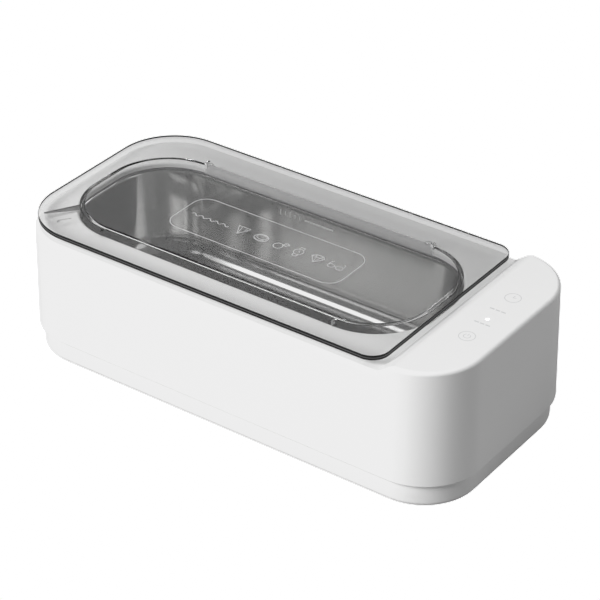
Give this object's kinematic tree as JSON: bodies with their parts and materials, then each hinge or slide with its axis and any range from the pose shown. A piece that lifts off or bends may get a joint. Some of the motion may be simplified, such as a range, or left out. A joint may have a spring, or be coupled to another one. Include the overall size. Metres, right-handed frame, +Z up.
{
  "type": "ultrasonic cleaner",
  "caption": "Long white bench-top ultrasonic bath with a smoked clear lift-off lid over a stainless oval tank and a raised touch panel at one end.",
  "frame": {"origin": "on the table surface, under the middle of the housing's footprint, level with the bottoms of the rubber feet", "axes": "+X along the length towards the touch panel, +Y towards the back (power inlet side), +Z up; the front faces -Y"},
  "size_m": [0.2068, 0.0984, 0.0613],
  "materials": {
    "white_housing": "white ABS, satin",
    "white_base": "white ABS, satin",
    "smoked_lid": "clear smoked polystyrene, polished",
    "stainless_tank": "drawn stainless sheet, fine satin",
    "silicone": "matte silicone",
    "grey_plastic": "moulded",
    "screw_steel": "zinc plated",
    "foot_rubber": "matte",
    "piezo_ceramic": "fired, silvered faces",
    "epoxy": "cured adhesive",
    "circuit_board": "solder mask",
    "ferrite": "ground ferrite",
    "copper": "enamelled winding wire",
    "capacitor_sleeve": "shrunk sleeve",
    "capacitor_box": "moulded box",
    "black_plastic": "moulded",
    "heatsink_aluminium": "extruded",
    "nylon": "natural nylon",
    "spring_steel": "plated spring wire",
    "led_epoxy": "clear epoxy",
    "light_pipe": "clear acrylic",
    "flat_cable": "flat flexible cable",
    "red_wire": "insulated wire",
    "black_wire": "insulated wire"
  },
  "bodies": {
    "bath_unit": {"upper_housing": "white_housing", "bottom_cover": "white_base", "tank": "stainless_tank", "tank_gasket": "silicone", "tank_clamp_frame": "grey_plastic", "clamp_screw_1": "screw_steel", "clamp_screw_2": "screw_steel", "clamp_screw_3": "screw_steel", "clamp_screw_4": "screw_steel", "clamp_screw_5": "screw_steel", "clamp_screw_6": "screw_steel", "case_screw_1": "screw_steel", "case_screw_2": "screw_steel", "case_screw_3": "screw_steel", "case_screw_4": "screw_steel", "board_screw_1": "screw_steel", "board_screw_2": "screw_steel", "board_screw_3": "screw_steel", "board_screw_4": "screw_steel", "touch_board_screw_1": "screw_steel", "touch_board_screw_2": "screw_steel", "foot_1": "foot_rubber", "foot_2": "foot_rubber", "foot_3": "foot_rubber", "foot_4": "foot_rubber", "piezo_disc": "piezo_ceramic", "transducer_bond": "epoxy", "piezo_lead_live": "red_wire", "piezo_lead_return": "black_wire", "driver_board": "circuit_board", "transformer_core": "ferrite", "transformer_winding": "copper", "tuning_inductor": "ferrite", "bulk_capacitor": "capacitor_sleeve", "film_capacitor": "capacitor_box", "power_transistor": "black_plastic", "heatsink": "heatsink_aluminium", "piezo_connector": "nylon", "power_connector": "nylon", "touch_connector": "nylon", "touch_board": "circuit_board", "touch_spring_power": "spring_steel", "touch_spring_timer": "spring_steel", "touch_chip": "black_plastic", "indicator_led": "led_epoxy", "light_pipe": "light_pipe", "touch_cable": "flat_cable", "power_inlet": "black_plastic", "inlet_lead_positive": "red_wire", "inlet_lead_negative": "black_wire"},
    "lid_body": {"lid": "smoked_lid"}
  },
  "joints": [
    {"name": "lid_lift", "type": "slide", "parent": "bath_unit", "child": "lid_body", "axis": [0, 0, 1], "range_m": [0, 0.08]}
  ]
}
